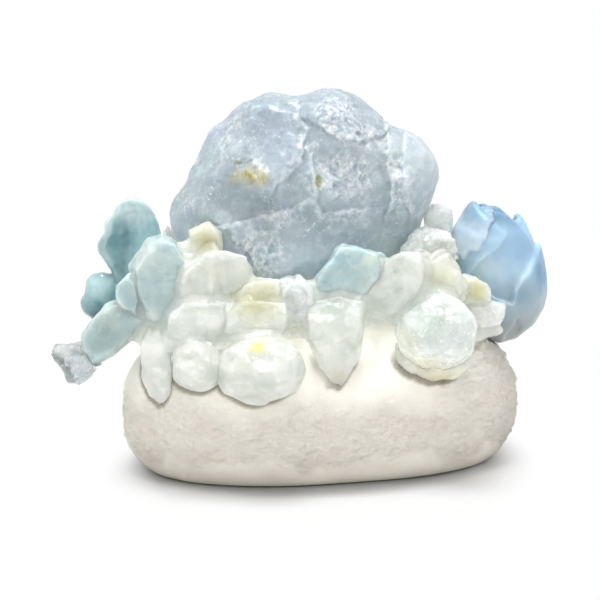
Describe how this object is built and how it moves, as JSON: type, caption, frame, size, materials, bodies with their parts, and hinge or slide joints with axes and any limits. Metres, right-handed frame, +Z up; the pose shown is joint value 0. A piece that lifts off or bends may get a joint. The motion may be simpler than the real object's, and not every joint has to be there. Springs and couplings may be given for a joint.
{
  "type": "celestite crystal arrangement",
  "caption": "Lump of pale blue celestite on a white cast pebble, with a collar of tumbled and broken crystal chips, a carved blue blossom and glazed teal petals.",
  "frame": {"origin": "under the middle of the whole piece, on the surface it stands on", "axes": "+Z up, +X to the viewer's right along the pebble, the front faces -Y"},
  "size_m": [0.1372, 0.0784, 0.1046],
  "materials": {
    "plaster": "matte, rough cast",
    "celestite": "cloudy, glossy on broken faces",
    "blue_resin": "satin, slightly translucent",
    "teal_glaze": "glossy glaze, darker in the hollows",
    "clear_quartz": "clear to cloudy quartz",
    "milky_quartz": "milky, glossy on broken faces",
    "honey_calcite": "cloudy pale yellow",
    "aqua_stone": "cloudy pale aqua"
  },
  "bodies": {
    "root": {"base_pebble": "plaster", "celestite_lump": "celestite", "blue_blossom": "blue_resin", "teal_petals": "teal_glaze", "round_quartz_right": "clear_quartz", "gold_flecked_quartz": "clear_quartz", "clear_chip_middle": "clear_quartz", "clear_chip_right": "clear_quartz", "clear_chip_far_right": "clear_quartz", "clear_tip_left": "clear_quartz", "small_clear_chip_left": "clear_quartz", "lilac_chip_right": "clear_quartz", "round_chip_left": "milky_quartz", "long_chip_left": "milky_quartz", "pointed_chip_centre": "milky_quartz", "milky_chip_middle": "milky_quartz", "milky_chip_left": "milky_quartz", "big_milky_chip": "milky_quartz", "milky_chip_centre": "milky_quartz", "low_chip_far_right": "milky_quartz", "white_shard_left": "milky_quartz", "inner_chip_left": "milky_quartz", "inner_chip_right": "milky_quartz", "low_chip_right": "honey_calcite", "honey_chip_middle": "honey_calcite", "honey_chip_left": "honey_calcite", "honey_chip_right": "honey_calcite", "pale_chip_right": "honey_calcite", "small_aqua_chip": "aqua_stone", "big_aqua_chip": "aqua_stone", "aqua_arm": "aqua_stone", "aqua_chip_centre": "aqua_stone", "back_chip_1": "milky_quartz", "back_chip_2": "milky_quartz", "back_chip_3": "milky_quartz", "back_chip_4": "clear_quartz", "back_chip_5": "aqua_stone", "back_chip_6": "aqua_stone", "back_chip_7": "honey_calcite", "back_chip_8": "milky_quartz", "back_chip_9": "milky_quartz", "back_chip_10": "milky_quartz", "back_chip_11": "clear_quartz", "back_chip_12": "aqua_stone", "back_chip_13": "aqua_stone", "back_chip_14": "honey_calcite", "back_chip_15": "milky_quartz"}
  },
  "joints": []
}
